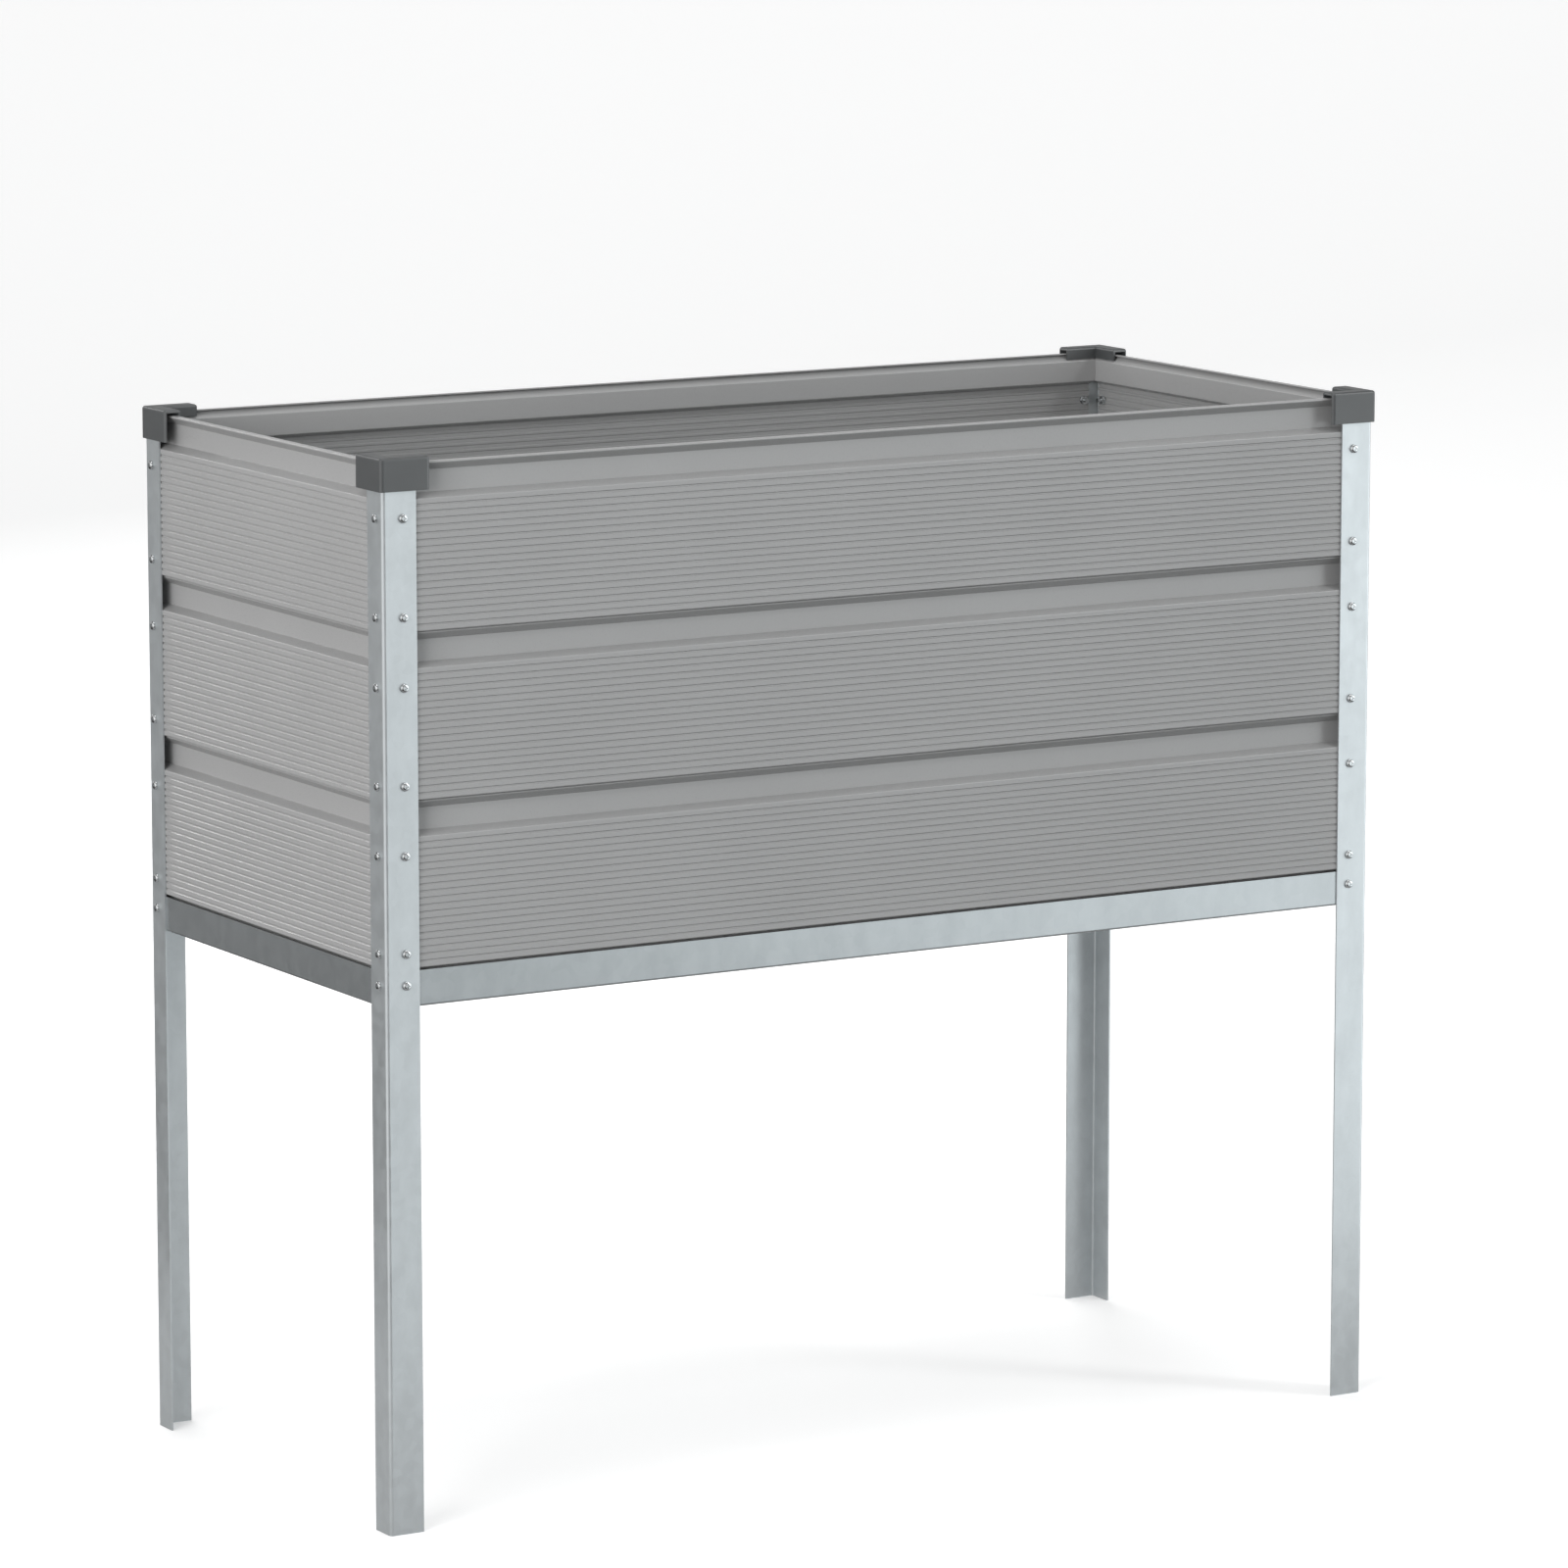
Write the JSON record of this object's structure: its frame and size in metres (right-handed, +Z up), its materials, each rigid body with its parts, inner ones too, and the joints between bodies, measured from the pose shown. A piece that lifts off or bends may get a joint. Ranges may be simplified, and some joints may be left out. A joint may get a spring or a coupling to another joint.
{
  "type": "raised planter on legs",
  "caption": "Rectangular raised planter of stacked ribbed steel planks bolted to angle-section corner posts that run down as legs, with corner caps and a drained floor.",
  "frame": {"origin": "middle of the footprint, on the ground", "axes": "+X along the long side to the right seen from the front, -Y is the front, +Z up"},
  "size_m": [1.0052, 0.4552, 0.9219],
  "materials": {
    "plank_coat": "satin light grey powder coat on ribbed sheet",
    "post_zinc": "smooth galvanised, pale blue grey, fine spangle",
    "rail_zinc": "galvanised",
    "floor_zinc": "galvanised",
    "cap_plastic": "dark grey moulded plastic, fine grain",
    "fastener_zinc": "bright zinc plated"
  },
  "bodies": {
    "root": {"cap_back_left": "cap_plastic", "cap_back_right": "cap_plastic", "cap_front_left": "cap_plastic", "cap_front_right": "cap_plastic", "crossbar_left": "floor_zinc", "crossbar_right": "floor_zinc", "floor_tray_left": "floor_zinc", "floor_tray_middle": "floor_zinc", "floor_tray_right": "floor_zinc", "nuts_back_left": "fastener_zinc", "nuts_back_right": "fastener_zinc", "nuts_front_left": "fastener_zinc", "nuts_front_right": "fastener_zinc", "plank_back_lower": "plank_coat", "plank_back_middle": "plank_coat", "plank_back_upper": "plank_coat", "plank_front_lower": "plank_coat", "plank_front_middle": "plank_coat", "plank_front_upper": "plank_coat", "plank_left_lower": "plank_coat", "plank_left_middle": "plank_coat", "plank_left_upper": "plank_coat", "plank_right_lower": "plank_coat", "plank_right_middle": "plank_coat", "plank_right_upper": "plank_coat", "post_back_left": "post_zinc", "post_back_right": "post_zinc", "post_front_left": "post_zinc", "post_front_right": "post_zinc", "rail_back": "rail_zinc", "rail_front": "rail_zinc", "rail_left": "rail_zinc", "rail_right": "rail_zinc", "screws_back_left": "fastener_zinc", "screws_back_right": "fastener_zinc", "screws_front_left": "fastener_zinc", "screws_front_right": "fastener_zinc"}
  },
  "joints": []
}
